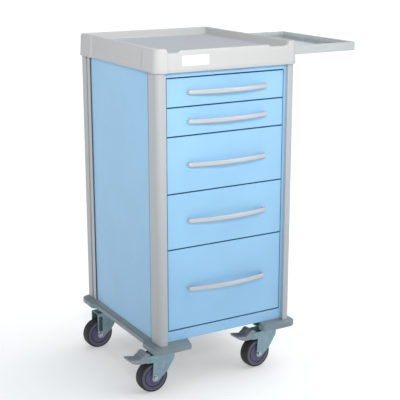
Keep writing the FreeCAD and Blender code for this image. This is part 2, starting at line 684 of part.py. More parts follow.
# ---- the whole cart -----------------------------------------------------------------------------
def make_cabinet():
    """Everything that doesn't move, apart from the caster plates and drawer rails."""
    for name, shape in (("front", front_column()), ("rear", rear_column())):
        keep(name + "_right_column", shape)
        keep(name + "_left_column", mirrored(shape))
    keep("right_side_panel", side_panel())
    keep("left_side_panel", mirrored(side_panel()))
    keep("back_panel", back_panel())
    keep("front_frame", front_frame())
    keep("base_pan", base_pan())
    keep("base_rails", base_rail(), mirrored(base_rail()))
    keep("top_panel", top_panel())
    uprights = [slide_upright(y) for y in (FRONT_COLUMN[1] + 3.0, REAR_COLUMN[0] - 33.0)]
    keep("slide_uprights", *(uprights + [mirrored(u) for u in uprights]))
    keep("worktop_tray", worktop_tray())
    keep("label_plate", label_plate())
    keep("side_shelf_frame", side_shelf_frame())
    keep("side_shelf_panel", side_shelf_panel())
    keep("shelf_guides", shelf_guide(-1), shelf_guide(1))
    keep("left_bumper", left_bumper())
    keep("right_bumper", mirrored(left_bumper()))


def export():
    """Shift everything so the origin is the middle of the whole box at floor level, and write it."""
    os.makedirs("parts", exist_ok=True)
    whole = FreeCAD.BoundBox()
    for shape in parts.values():
        whole.add(shape.optimalBoundingBox(True, False))
    shift = V(-whole.Center.x, -whole.Center.y, 0)
    for name, shape in sorted(parts.items()):
        shape.translate(shift)
        assert shape.isValid(), name
        shape.exportStep("parts/%s.step" % name)
    print("nodes", len(parts), "solids", sum(len(s.Solids) for s in parts.values()))
    print("size", round(whole.XLength, 3), round(whole.YLength, 3), round(whole.ZLength, 3))
    print("cabinet centreline is at", round(shift.x, 3), round(shift.y, 3), "lowest z", round(whole.ZMin, 3))


make_cabinet()
make_drawers()
make_casters()
export()
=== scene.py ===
"""Medication cart: the looks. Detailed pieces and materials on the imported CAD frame, in metres."""

import json
import math

import bpy
import bmesh
from mathutils import Matrix, Vector


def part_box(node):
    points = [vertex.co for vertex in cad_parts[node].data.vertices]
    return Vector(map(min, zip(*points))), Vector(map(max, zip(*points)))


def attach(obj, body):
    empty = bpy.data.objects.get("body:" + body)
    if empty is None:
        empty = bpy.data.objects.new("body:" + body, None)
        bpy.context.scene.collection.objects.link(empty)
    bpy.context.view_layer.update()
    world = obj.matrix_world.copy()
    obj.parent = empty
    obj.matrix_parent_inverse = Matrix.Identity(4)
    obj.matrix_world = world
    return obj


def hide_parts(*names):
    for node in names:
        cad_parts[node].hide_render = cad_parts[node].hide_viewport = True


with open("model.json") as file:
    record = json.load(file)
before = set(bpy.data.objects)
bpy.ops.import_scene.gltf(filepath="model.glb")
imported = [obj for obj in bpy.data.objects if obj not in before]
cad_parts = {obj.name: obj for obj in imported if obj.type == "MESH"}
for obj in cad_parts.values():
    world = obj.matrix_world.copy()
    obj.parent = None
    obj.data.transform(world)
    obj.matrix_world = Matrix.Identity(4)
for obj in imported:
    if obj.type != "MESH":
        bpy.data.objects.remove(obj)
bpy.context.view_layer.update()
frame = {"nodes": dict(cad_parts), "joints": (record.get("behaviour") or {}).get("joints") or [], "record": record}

MM = 0.001
JOINTS = {joint["name"]: joint for joint in frame["joints"]}
CASTERS = ("front_left", "front_right", "rear_left", "rear_right")
BRAKED = ("front_left", "front_right")
DRAWERS = range(1, 6)


def middle(box):
    """Centre of a (low, high) box."""
    return (box[0] + box[1]) / 2


def span(*nodes):
    """Box round several CAD nodes."""
    boxes = [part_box(node) for node in nodes]
    low = Vector([min(box[0][i] for box in boxes) for i in range(3)])
    high = Vector([max(box[1][i] for box in boxes) for i in range(3)])
    return low, high


# the cabinet's own centreline on the floor
CENTRE = middle(span("left_bumper", "right_bumper"))
CENTRE.z = 0.0


# ---- camera, light and floor --------------------------------------------------------------------
def camera():
    """A long lens from the front left, a little above the worktop."""
    data = bpy.data.cameras.new("camera")
    data.lens = 90.93
    data.clip_start = 0.1
    data.clip_end = 50.0
    piece = bpy.data.objects.new("camera", data)
    piece.location = CENTRE + Vector((-1.5958, -2.8576, 1.4242))
    piece.rotation_euler = (math.radians(90 - 14.96), 0.0, math.radians(-30.07))
    bpy.context.scene.collection.objects.link(piece)
    bpy.context.scene.camera = piece


def studio():
    """Cool even surroundings, light from overhead, a warm key beside the camera and a weak fill opposite."""
    world = bpy.data.worlds.new("studio")
    world.use_nodes = True
    world.node_tree.nodes["Background"].inputs["Color"].default_value = (0.93, 0.98, 1.0, 1.0)
    world.node_tree.nodes["Background"].inputs["Strength"].default_value = 0.38
    scene = bpy.context.scene
    scene.world = world
    scene.view_settings.view_transform = "Standard"
    scene.view_settings.look = "None"
    overhead = bpy.data.lights.new("overhead", "SUN")
    overhead.energy = 1.90
    overhead.angle = math.radians(70)
    shine(overhead, (1.8, -0.3, 4.0), (0.0, 0.0, 0.0))
    key = lamp("key", 245.0, size=0.3, cone=44)
    key.color = (1.0, 0.965, 0.93)
    shine(key, (-1.2, -2.5, 2.05), (0.0, 0.0, 1.12))
    fill = lamp("fill", 35.0, size=0.45, cone=36)
    shine(fill, (2.3, -3.1, 1.5), (0.0, 0.0, 0.95))


def lamp(name, energy, size, cone):
    """Spot lamp with a soft rim, its cone in degrees."""
    data = bpy.data.lights.new(name, "SPOT")
    data.energy = energy
    data.shadow_soft_size = size
    data.spot_size = math.radians(cone)
    data.spot_blend = 1.0
    return data


def shine(data, place, target):
    """Put a light at a place, aimed at a target."""
    piece = bpy.data.objects.new(data.name, data)
    piece.location = CENTRE + Vector(place)
    aim = Vector(target) - Vector(place)
    piece.rotation_euler = aim.to_track_quat("-Z", "Y").to_euler()
    bpy.context.scene.collection.objects.link(piece)


def backdrop():
    """White floor and a far, low white wall all round it, not part of the object."""
    reach = 60.0
    height = 12.0
    sides = 64
    turns = [2 * math.pi * k / sides for k in range(sides)]
    rim = [(reach * math.cos(turn), reach * math.sin(turn)) for turn in turns]
    floor_paint, _, shader = new_material("studio_floor")
    shader.inputs["Base Color"].default_value = (0.72, 0.72, 0.72, 1.0)
    shader.inputs["Roughness"].default_value = 0.85
    shader.inputs["Emission Color"].default_value = (1.0, 1.0, 1.0, 1.0)
    shader.inputs["Emission Strength"].default_value = 0.36
    wall_paint, _, shader = new_material("studio_wall")
    shader.inputs["Base Color"].default_value = (0.0, 0.0, 0.0, 1.0)
    shader.inputs["Emission Color"].default_value = (1.0, 1.0, 1.0, 1.0)
    shader.inputs["Emission Strength"].default_value = 0.95
    floor = [(x, y, 0.0) for x, y in rim]
    wall = floor + [(x, y, height) for x, y in rim]
    walls = [(i, (i + 1) % sides, sides + (i + 1) % sides, sides + i) for i in range(sides)]
    for name, vertices, faces, paint in (("studio_floor", floor, [tuple(range(sides))], floor_paint),
                                         ("studio_wall", wall, walls, wall_paint)):
        mesh = bpy.data.meshes.new(name)
        mesh.from_pydata(vertices, [], faces)
        mesh.materials.append(paint)
        piece = bpy.data.objects.new(name, mesh)
        bpy.context.scene.collection.objects.link(piece)


# ---- materials ----------------------------------------------------------------------------------
def new_material(name):
    """Material with a lone Principled shader."""
    material = bpy.data.materials.new(name)
    material.use_nodes = True
    tree = material.node_tree
    return material, tree, tree.nodes["Principled BSDF"]


def noise(tree, scale, detail=3.0, stretch=(1.0, 1.0, 1.0)):
    """Noise in the piece's own coordinates, scale in features per metre."""
    place = tree.nodes.new("ShaderNodeTexCoord")
    mapping = tree.nodes.new("ShaderNodeMapping")
    mapping.inputs["Scale"].default_value = stretch
    texture = tree.nodes.new("ShaderNodeTexNoise")
    texture.inputs["Scale"].default_value = scale
    texture.inputs["Detail"].default_value = detail
    tree.links.new(place.outputs["Object"], mapping.inputs["Vector"])
    tree.links.new(mapping.outputs["Vector"], texture.inputs["Vector"])
    return texture.outputs["Fac"]


def vary(tree, shader, socket, low, high, source, edges=(0.3, 0.7)):
    """Drive a colour or number between two values with a noise."""
    if socket == "Base Color":
        ramp = tree.nodes.new("ShaderNodeValToRGB")
        ramp.color_ramp.elements[0].position = edges[0]
        ramp.color_ramp.elements[1].position = edges[1]
        ramp.color_ramp.elements[0].color = (*low, 1.0)
        ramp.color_ramp.elements[1].color = (*high, 1.0)
        tree.links.new(source, ramp.inputs["Fac"])
        tree.links.new(ramp.outputs["Color"], shader.inputs[socket])
        return
    spread = tree.nodes.new("ShaderNodeMapRange")
    spread.inputs["From Min"].default_value = edges[0]
    spread.inputs["From Max"].default_value = edges[1]
    spread.inputs["To Min"].default_value = low
    spread.inputs["To Max"].default_value = high
    tree.links.new(source, spread.inputs["Value"])
    tree.links.new(spread.outputs["Result"], shader.inputs[socket])


def bump(tree, shader, source, depth, strength):
    """Raise the surface by a noise, depth in metres."""
    node = tree.nodes.new("ShaderNodeBump")
    node.inputs["Distance"].default_value = depth
    node.inputs["Strength"].default_value = strength
    tree.links.new(source, node.inputs["Height"])
    tree.links.new(node.outputs["Normal"], shader.inputs["Normal"])


def scaled(color, factor):
    """A darker or lighter version of a colour."""
    return tuple(min(1.0, channel * factor) for channel in color)


def enamel(name, color, roughness=0.38):
    """Powder-coated sheet: orange peel, a soft coat and slight clouding."""
    material, tree, shader = new_material(name)
    vary(tree, shader, "Base Color", scaled(color, 0.97), scaled(color, 1.03), noise(tree, 7.0))
    vary(tree, shader, "Roughness", roughness - 0.04, roughness + 0.05, noise(tree, 60.0))
    shader.inputs["Coat Weight"].default_value = 0.1
    shader.inputs["Coat Roughness"].default_value = 0.25
    bump(tree, shader, noise(tree, 700.0, 2.0), 0.00003, 0.6)
    return material


def moulded(name, color, roughness=0.5, grain=900.0, depth=0.00005, cloud=0.03):
    """Moulded plastic with a fine spark-eroded texture."""
    material, tree, shader = new_material(name)
    vary(tree, shader, "Base Color", scaled(color, 1 - cloud), scaled(color, 1 + cloud), noise(tree, 12.0))
    vary(tree, shader, "Roughness", roughness - 0.06, roughness + 0.06, noise(tree, 150.0))
    bump(tree, shader, noise(tree, grain, 2.0), depth, 0.7)
    return material


def tray_plastic(name, rim, shaded_floor_color):
    """Moulded tray: matte, with a fine texture; its floor gets a darker, bluer copy of the rim's colour as painted
    shade of the recess.
    """
    material, tree, shader = new_material(name)
    geometry = tree.nodes.new("ShaderNodeNewGeometry")
    facing = tree.nodes.new("ShaderNodeSeparateXYZ")
    tree.links.new(geometry.outputs["Normal"], facing.inputs["Vector"])
    place = tree.nodes.new("ShaderNodeTexCoord")
    height = tree.nodes.new("ShaderNodeSeparateXYZ")
    tree.links.new(place.outputs["Object"], height.inputs["Vector"])
    flat = tree.nodes.new("ShaderNodeMapRange")
    flat.inputs["From Min"].default_value = TRAY_FLOOR + 2 * MM
    flat.inputs["From Max"].default_value = TRAY_FLOOR
    tree.links.new(height.outputs["Z"], flat.inputs["Value"])
    up = tree.nodes.new("ShaderNodeMath")
    up.operation = "MULTIPLY"
    up.use_clamp = True
    tree.links.new(facing.outputs["Z"], up.inputs[0])
    tree.links.new(flat.outputs["Result"], up.inputs[1])
    # painted shade: up-facing surfaces at floor height take the darker, bluer floor colour
    mix = tree.nodes.new("ShaderNodeMix")
    mix.data_type = "RGBA"
    mix.inputs["A"].default_value = (*rim, 1.0)
    mix.inputs["B"].default_value = (*shaded_floor_color, 1.0)
    tree.links.new(up.outputs["Value"], mix.inputs["Factor"])
    cloud = tree.nodes.new("ShaderNodeMix")
    cloud.data_type = "RGBA"
    cloud.blend_type = "MULTIPLY"
    cloud.inputs["Factor"].default_value = 1.0
    ramp = tree.nodes.new("ShaderNodeValToRGB")
    ramp.color_ramp.elements[0].color = (0.97, 0.97, 0.97, 1.0)
    ramp.color_ramp.elements[1].color = (1.0, 1.0, 1.0, 1.0)
    tree.links.new(noise(tree, 12.0), ramp.inputs["Fac"])
    tree.links.new(mix.outputs["Result"], cloud.inputs["A"])
    tree.links.new(ramp.outputs["Color"], cloud.inputs["B"])
    tree.links.new(cloud.outputs["Result"], shader.inputs["Base Color"])
    vary(tree, shader, "Roughness", 0.58, 0.70, noise(tree, 150.0))
    shader.inputs["Specular IOR Level"].default_value = 0.2
    bump(tree, shader, noise(tree, 800.0, 2.0), 0.00006, 0.7)
    return material


def anodised(name, color):
    """Satin extrusion with faint draw lines along its length."""
    material, tree, shader = new_material(name)
    lines = noise(tree, 900.0, 3.0, (1.0, 1.0, 0.01))
    vary(tree, shader, "Base Color", scaled(color, 0.96), scaled(color, 1.03), lines)
    vary(tree, shader, "Roughness", 0.34, 0.44, lines)
    shader.inputs["Metallic"].default_value = 0.1
    shader.inputs["Specular IOR Level"].default_value = 0.3
    bump(tree, shader, lines, 0.00002, 0.5)
    return material


def zinc(name, color):
    """Bright zinc plate: metallic, faintly blue and clouded."""
    material, tree, shader = new_material(name)
    vary(tree, shader, "Base Color", scaled(color, 0.88), scaled(color, 1.08), noise(tree, 55.0, 4.0))
    vary(tree, shader, "Roughness", 0.24, 0.42, noise(tree, 90.0, 4.0))
    shader.inputs["Metallic"].default_value = 0.75
    bump(tree, shader, noise(tree, 420.0, 4.0), 0.00004, 0.5)
    return material


def lacquer(name, color):
    """Metallic lacquer on a moulded bar."""
    material, tree, shader = new_material(name)
    vary(tree, shader, "Base Color", scaled(color, 0.97), scaled(color, 1.03), noise(tree, 2500.0, 1.0))
    vary(tree, shader, "Roughness", 0.28, 0.36, noise(tree, 80.0))
    shader.inputs["Metallic"].default_value = 0.35
    shader.inputs["Coat Weight"].default_value = 0.3
    shader.inputs["Coat Roughness"].default_value = 0.2
    bump(tree, shader, noise(tree, 1500.0, 1.0), 0.00001, 0.5)
    return material


def rubber(name, color):
    """Tyre rubber: matte, dustier in patches."""
    material, tree, shader = new_material(name)
    vary(tree, shader, "Base Color", color, scaled(color, 1.7), noise(tree, 40.0, 5.0), (0.35, 0.75))
    vary(tree, shader, "Roughness", 0.55, 0.75, noise(tree, 120.0))
    bump(tree, shader, noise(tree, 1200.0, 3.0), 0.00006, 0.7)
    return material


def bolt_plate(name, color):
    """Bright plated fasteners."""
    material, tree, shader = new_material(name)
    vary(tree, shader, "Base Color", scaled(color, 0.93), scaled(color, 1.04), noise(tree, 150.0))
    vary(tree, shader, "Roughness", 0.16, 0.28, noise(tree, 200.0))
    shader.inputs["Metallic"].default_value = 1.0
    bump(tree, shader, noise(tree, 900.0), 0.00002, 0.5)
    return material


def make_materials():
    """One finish for each material slot of the record."""
    return {
        "blue_enamel": enamel("blue_enamel", (0.262, 0.50, 0.735)),
        "chassis_enamel": enamel("chassis_enamel", (0.20, 0.22, 0.24), 0.5),
        "drawer_box_enamel": enamel("drawer_box_enamel", (0.62, 0.64, 0.66), 0.45),
        "column_silver": anodised("column_silver", (0.42, 0.44, 0.46)),
        # the second colour is painted shade on the tray's recessed floor
        "tray_grey": tray_plastic("tray_grey", (0.495, 0.505, 0.51), (0.42, 0.44, 0.475)),
        "label_white": moulded("label_white", (0.80, 0.80, 0.79), 0.3, 2000.0, 0.00001, 0.01),
        "bumper_grey": moulded("bumper_grey", (0.18, 0.24, 0.27), 0.36, 700.0, 0.00008, 0.08),
        "shelf_frame_grey": moulded("shelf_frame_grey", (0.44, 0.47, 0.475), 0.45),
        "shelf_panel_white": moulded("shelf_panel_white", (0.66, 0.71, 0.78), 0.35),
        "hub_grey": moulded("hub_grey", (0.085, 0.072, 0.15), 0.42, 900.0, 0.00005, 0.08),
        "hub_band": moulded("hub_band", (0.085, 0.09, 0.13), 0.5, 900.0, 0.00005, 0.1),
        # painted shade for the gaps round the drawer fronts
        "gap_shade_navy": moulded("gap_shade_navy", (0.004, 0.055, 0.14), 0.7, 1200.0, 0.00004, 0.1),
        # painted shade for the recesses in the plain fork legs and the joints between panels and columns
        "painted_shade_blue": moulded("painted_shade_blue", (0.03, 0.052, 0.082), 0.4, 900.0, 0.00003, 0.1),
        "pedal_grey": moulded("pedal_grey", (0.24, 0.28, 0.32), 0.45, 700.0, 0.00008, 0.06),
        "handle_silver": lacquer("handle_silver", (0.51, 0.52, 0.53)),
        "zinc_steel": zinc("zinc_steel", (0.235, 0.355, 0.405)),
        "bolt_steel": bolt_plate("bolt_steel", (0.50, 0.58, 0.60)),
        "tyre_black": rubber("tyre_black", (0.016, 0.016, 0.018)),
    }


# ---- mesh helpers -------------------------------------------------------------------------------
def rounded(points, step):
    """Closed outline through (a, b, corner radius) points, its arcs in steps of some degrees."""
    outline = []
    for i, (a, b, radius) in enumerate(points):
        here = Vector((a, b))
        if radius == 0:
            outline.append(here)
            continue
        before = (Vector(points[i - 1][:2]) - here).normalized()
        after = (Vector(points[(i + 1) % len(points)][:2]) - here).normalized()
        half = before.angle(after) / 2
        centre = here + (before + after).normalized() * (radius / math.sin(half))
        start = here + before * (radius / math.tan(half)) - centre
        turn = math.pi - 2 * half
        if before.x * after.y - before.y * after.x > 0:
            turn = -turn
        count = max(2, round(abs(math.degrees(turn)) / step))
        for k in range(count + 1):
            outline.append(centre + Matrix.Rotation(turn * k / count, 2) @ start)
    return outline


def rectangle(low, high, depth, radius, plane="xy"):
    """Rounded rectangle outline of a box in a plane, moved inward by a depth."""
    a0, a1 = getattr(low, plane[0]) + depth, getattr(high, plane[0]) - depth
    b0, b1 = getattr(low, plane[1]) + depth, getattr(high, plane[1]) - depth
    return rounded([(a0, b0, radius), (a1, b0, radius), (a1, b1, radius), (a0, b1, radius)], 18.0)


def scaled_outline(points, step=8.0):
    """Rounded outline from millimetre points."""
    return rounded([(a * MM, b * MM, r * MM) for a, b, r in points], step)


def inset(outline, distance):
    """The outline moved inward by a distance, or outward by a negative one."""
    area = sum(p.x * q.y - p.y * q.x for p, q in zip(outline, outline[1:] + outline[:1]))
    side = 1.0 if area > 0 else -1.0
    moved = []
    count = len(outline)
    for i, here in enumerate(outline):
        along_in = (here - outline[i - 1]).normalized()
        along_out = (outline[(i + 1) % count] - here).normalized()
        normal = Vector((-(along_in.y + along_out.y), along_in.x + along_out.x)).normalized() * side
        edge_normal = Vector((-along_in.y, along_in.x)) * side
        moved.append(here + normal * distance / max(0.5, normal.dot(edge_normal)))
    return moved


def finish_mesh(name, vertices, faces, sharp=35.0):
    """Object from raw geometry, with outward normals, smooth shading and sharp creases."""
    mesh = bpy.data.meshes.new(name)
    mesh.from_pydata([tuple(v) for v in vertices], [], faces)
    work = bmesh.new()
    work.from_mesh(mesh)
    bmesh.ops.remove_doubles(work, verts=work.verts, dist=1e-7)
    bmesh.ops.recalc_face_normals(work, faces=work.faces)
    work.to_mesh(mesh)
    work.free()
    mesh.shade_smooth()
    mesh.set_sharp_from_angle(angle=math.radians(sharp))
    piece = bpy.data.objects.new(name, mesh)
    bpy.context.scene.collection.objects.link(piece)
    return piece


def rings_mesh(rings, closed=False):
    """Vertices and faces between equal rings: capped ends, or closed, with the last joined to the first."""
    count = len(rings[0])
    vertices = [v for ring in rings for v in ring]
    faces = []
    total = len(rings)
    for r in range(total if closed else total - 1):
        a = r * count
        b = (r + 1) % total * count
        faces += [(a + i, a + (i + 1) % count, b + (i + 1) % count, b + i) for i in range(count)]
    if not closed:
        faces.append(tuple(range(count))[::-1])
        faces.append(tuple(range((total - 1) * count, total * count)))
    return vertices, faces


def soft_levels(low, high, radius, steps=3):
    """(level, inset) pairs of a slab from low to high with rounded rims."""
    levels = []
    for k in range(steps + 1):
        angle = math.pi / 2 * k / steps
        levels.append((low + radius * (1 - math.sin(angle)), radius * (1 - math.cos(angle))))
    levels = levels[::-1]
    return levels + [(high + low - level, depth) for level, depth in levels[::-1]]


def merge(*parts):
    """Join several (vertices, faces) lists into one."""
    vertices = []
    faces = []
    for more_vertices, more_faces in parts:
        start = len(vertices)
        vertices += more_vertices
        faces += [tuple(start + i for i in face) for face in more_faces]
    return vertices, faces


def slab(outline, levels, axis="z", place=None):
    """(vertices, faces) of a slab: one inset copy of the outline at each (level, inset)."""
    spot = {
        "x": lambda a, b, c: Vector((c, a, b)),
        "y": lambda a, b, c: Vector((a, c, b)),
        "z": lambda a, b, c: Vector((a, b, c)),
    }[axis]
    rings = [[spot(p.x, p.y, level) for p in inset(outline, depth)] for level, depth in levels]
    vertices, faces = rings_mesh(rings)
    if place is not None:
        vertices = [place @ v for v in vertices]
    return vertices, faces


def lathe(profile, place, segments):
    """(vertices, faces) of a closed (radius, distance along Y) profile turned about local Y."""
    rings = []
    for k in range(segments):
        angle = 2 * math.pi * k / segments
        rings.append([place @ Vector((r * math.cos(angle), y, r * math.sin(angle))) for r, y in profile])
    return rings_mesh(rings, closed=True)


def carve(piece, *cutters):
    """Cut closed shapes out of a piece."""
    for cutter in cutters:
        modifier = piece.modifiers.new("cut", "BOOLEAN")
        modifier.operation = "DIFFERENCE"
        modifier.solver = "EXACT"
        modifier.object = cutter
    whole = piece.evaluated_get(bpy.context.evaluated_depsgraph_get())
    carved = bpy.data.meshes.new_from_object(whole)
    piece.modifiers.clear()
    piece.data = carved
    for cutter in cutters:
        bpy.data.objects.remove(cutter)
    carved.shade_smooth()
    carved.set_sharp_from_angle(angle=math.radians(35))
    return piece


def add(piece, body, slot, *nodes, finish=None):
    """Give a new piece its body and finish, and hide the CAD nodes that it stands for."""
    piece.data.materials.clear()
    piece.data.materials.append(FINISHES[finish or slot])
    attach(piece, body)
    if nodes:
        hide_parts(*nodes)
    return piece


# ---- worktop tray -------------------------------------------------------------------------------
BLOCK_STEP = 1.2 * MM           # how far the corner blocks stand proud
BLOCK_SIDE = 100 * MM
BLOCK_FRONT = 38 * MM
BLOCK_EASE = 2.2 * MM           # half the width of the slope at a block's edge
TRAY_CORNER = 27 * MM
TRAY_DRAFT = 4 * MM
TRAY_RIM = 18 * MM
TRAY_WALL = 3.5 * MM
TRAY_FLOOR = 1069 * MM
TRAY_UNDERSIDE = 1066 * MM
RAISED_RIM = 1085.5 * MM
NOTCH_FLOOR = 1079 * MM
RAISED_FROM = -171 * MM
RAISED_TO = 146 * MM
RAISED_EASE = 5 * MM
POST_INNER = 213 * MM
POST_HOLLOW = 12 * MM
POST_ROUNDING = 6 * MM
SKIRT_INSET = 2.0 * MM          # how far the skirt sits behind the CAD face between the blocks


def ease(value, low, high):
    """Smooth step from 0 at low to 1 at high."""
    t = min(1.0, max(0.0, (value - low) / (high - low)))
    return t * t * (3 - 2 * t)


def rim_height(x, top):
    """Height of the front rim at a distance from the middle: posts, notches and the raised part."""
    gap = POST_INNER - abs(x)
    if gap < 0:
        rounding = max(0.0, POST_ROUNDING + gap)
        return top - POST_ROUNDING + math.sqrt(POST_ROUNDING ** 2 - rounding ** 2)
    raised = ease(x, RAISED_FROM - RAISED_EASE, RAISED_FROM + RAISED_EASE)
    raised *= 1 - ease(x, RAISED_TO - RAISED_EASE, RAISED_TO + RAISED_EASE)
    height = NOTCH_FLOOR + (RAISED_RIM - NOTCH_FLOOR) * raised
    if gap < POST_HOLLOW:
        height += POST_HOLLOW - math.sqrt(POST_HOLLOW ** 2 - (POST_HOLLOW - gap) ** 2)
    return min(height, top - POST_ROUNDING)


def spaced(low, high, marks, fine, coarse, reach):
    """Positions from low to high, close together near the marks."""
    places = [low]
    while places[-1] < high - 1e-6:
        here = places[-1]
        near = min([abs(here - mark) for mark in marks] + [1.0])
        places.append(min(high, here + (fine if near < reach else coarse)))
    return places


def tray_stations(half_x, half_y, slot):
    """Points round the tray's outline: (position, outward normal, block, side, distance along)."""
    block_x = half_x - BLOCK_FRONT
    block_y = half_y - BLOCK_SIDE
    corner = TRAY_CORNER
    post = POST_INNER - 6 * MM
    marks_x = [-block_x, block_x, -post, post, RAISED_FROM, RAISED_TO]
    marks_y = [-block_y, block_y, *slot]
    run_x = spaced(-half_x + corner, half_x - corner, marks_x, fine=1.0 * MM, coarse=6 * MM, reach=9 * MM)
    run_y = spaced(-half_y + corner, half_y - corner, marks_y, fine=1.0 * MM, coarse=8 * MM, reach=6 * MM)
    run_y = sorted(set(run_y) | set(slot))
    stations = []

    def side(name, run, to_point, normal, block_edge):
        for here in run:
            block = ease(abs(here), block_edge - BLOCK_EASE, block_edge + BLOCK_EASE)
            stations.append((to_point(here), normal, block, name, here))

    def arc(centre, start):
        for k in range(1, 9):
            angle = math.radians(start + 10.0 * k)
            normal = Vector((math.cos(angle), math.sin(angle)))
            stations.append((centre + normal * corner, normal, 1.0, "corner", 0.0))

    inner_x = half_x - corner
    inner_y = half_y - corner
    side("front", run_x, lambda t: Vector((t, -half_y)), Vector((0, -1)), block_x)
    arc(Vector((inner_x, -inner_y)), -90)
    side("right", run_y, lambda t: Vector((half_x, t)), Vector((1, 0)), block_y)
    arc(Vector((inner_x, inner_y)), 0)
    side("back", run_x[::-1], lambda t: Vector((t, half_y)), Vector((0, 1)), block_x)
    arc(Vector((-inner_x, inner_y)), 90)
    side("left", run_y[::-1], lambda t: Vector((-half_x, t)), Vector((-1, 0)), block_y)
    arc(Vector((-inner_x, -inner_y)), 180)
    return stations


def tray_section(height, block, bottom, top, slot_z):
    """(offset, z) rows of the tray's wall, from the hidden underside round to the recessed floor."""
    def wall_at(z):
        proud = block * (BLOCK_STEP + SKIRT_INSET) - SKIRT_INSET
        return proud - TRAY_DRAFT * (z - bottom) / (top - bottom)

    outer = 5 * MM
    inner = 3 * MM
    fillet = 4.5 * MM
    foot = 0.8 * MM
    lean = 3.0 * MM
    rows = [(-TRAY_WALL - 1 * MM, TRAY_UNDERSIDE), (-TRAY_WALL - 0.8 * MM, slot_z[0]),
            (-TRAY_WALL, bottom + foot), (-TRAY_WALL + foot, bottom), (wall_at(bottom) - foot, bottom),
            (wall_at(bottom), bottom + foot), (wall_at(slot_z[0]), slot_z[0]),
            (wall_at(slot_z[1]), slot_z[1])]
    shoulder = wall_at(height - outer)
    for k in range(6):
        angle = math.pi / 2 * k / 5
        rows.append((shoulder - outer * (1 - math.cos(angle)), height - outer * (1 - math.sin(angle))))
    for k in range(5):
        angle = math.pi / 2 * k / 4
        rows.append((-TRAY_RIM + inner * (1 - math.sin(angle)), height - inner * (1 - math.cos(angle))))
    for k in range(7):
        angle = math.pi / 2 * k / 6
        rows.append((-TRAY_RIM - lean - fillet * (1 - math.cos(angle)),
                     TRAY_FLOOR + fillet * (1 - math.sin(angle))))
    return rows


def worktop_tray():
    """The moulded tray as one skin, with a slot in its right skirt for the shelf."""
    low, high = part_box("worktop_tray")
    centre = middle((low, high))
    half_x = (high.x - low.x) / 2 - BLOCK_STEP
    half_y = (high.y - low.y) / 2 - BLOCK_STEP
    shelf_low, shelf_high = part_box("side_shelf_frame")
    slot = (shelf_low.y - 1 * MM - centre.y, shelf_high.y + 1 * MM - centre.y)
    slot_z = (shelf_low.z - 1 * MM, TRAY_UNDERSIDE)
    stations = tray_stations(half_x, half_y, slot)
    vertices = []
    in_slot = []
    for point, normal, block, name, along in stations:
        height = rim_height(along, high.z) if name == "front" else high.z
        section = tray_section(height, block, low.z, high.z, slot_z)
        for offset, z in section:
            spread = point + normal * offset
            vertices.append(Vector((centre.x + spread.x, centre.y + spread.y, z)))
        in_slot.append(name == "right" and slot[0] - 1e-6 <= along <= slot[1] + 1e-6)
    count = len(stations)
    rows = len(vertices) // count
    # the section's rows at the slot's lower and upper edge, inside and outside the skirt
    inner_low, inner_high, outer_low, outer_high = 1, 0, 6, 7
    faces = []
    for i in range(count):
        j = (i + 1) % count
        a = i * rows
        b = j * rows
        cut = in_slot[i] and in_slot[j]
        for r in range(rows - 1):
            if cut and r in (inner_high, outer_low):
                continue
            faces.append((a + r, b + r, b + r + 1, a + r + 1))
        if cut:
            faces.append((a + inner_low, b + inner_low, b + outer_low, a + outer_low))
            faces.append((a + inner_high, b + inner_high, b + outer_high, a + outer_high))
        elif in_slot[i] != in_slot[j]:
            edge = a if in_slot[i] else b
            faces.append((edge + inner_low, edge + inner_high, edge + outer_high, edge + outer_low))
    faces.append(tuple(i * rows for i in range(count)))
    faces.append(tuple(i * rows + rows - 1 for i in range(count)))
    return finish_mesh("worktop_tray_skin", vertices, faces, 50.0)


def label():
    """Blank plate on the front skirt, leaning with the draft."""
    low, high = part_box("label_plate")
    tray_low, tray_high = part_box("worktop_tray")
    centre = middle((low, high))
    rise = TRAY_DRAFT / (tray_high.z - tray_low.z)
    skirt_y = tray_low.y + BLOCK_STEP + SKIRT_INSET + rise * (centre.z - tray_low.z)
    place = Matrix.Translation((centre.x, skirt_y, centre.z)) @ Matrix.Rotation(-math.atan(rise), 4, "X")
    half = (high - low) / 2
    outline = rectangle(-half, half, 0.0, 2.5 * MM, "xz")
    face, back, edge = -0.9 * MM, 0.8 * MM, 0.4 * MM
    return finish_mesh("blank_label_plate", *slab(outline, soft_levels(face, back, edge), "y", place))


# ---- side shelf ---------------------------------------------------------------------------------
def shelf_frame():
    """Frame with a flat top, a lip and a cove under it, in one closed section."""
    low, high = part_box("side_shelf_frame")
    top = high.z
    base = low.z
    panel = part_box("side_shelf_panel")[0].z
    # inset from the outside in mm, height, and corner radius in mm
    section = [(0.8, base, 3.2), (0.0, base + 0.8 * MM, 4.0), (0.0, top - 2.2 * MM, 4.0),
               (0.6, top - 0.7 * MM, 3.4), (2.2, top, 2.4), (9.8, top, 1.4), (11.4, top - 0.6 * MM, 1.2),
               (12.0, top - 2.2 * MM, 1.0), (12.0, top - 12.5 * MM, 1.0), (11.0, top - 14 * MM, 1.0),
               (7.3, top - 14.2 * MM, 1.5), (7.3, panel, 1.5), (12.0, panel - 0.1 * MM, 1.0),
               (12.0, base, 1.0)]
    rings = []
    for depth, z, radius in section:
        rings.append([Vector((p.x, p.y, z)) for p in rectangle(low, high, depth * MM, radius * MM)])
    return finish_mesh("side_shelf_rim", *rings_mesh(rings, closed=True))


# ---- bumpers ------------------------------------------------------------------------------------
FILLER_BASE = 160.0


def filler(foot, lip, crest, back, top):
    """Points (along, up, corner radius) in mm of a filler: a low lip, a climb to its crest, a back."""
    base = FILLER_BASE
    return [(foot, base, 1), (foot, lip, 1), (crest, top, 0.8), (back, top, 0.8), (back, base, 1)]


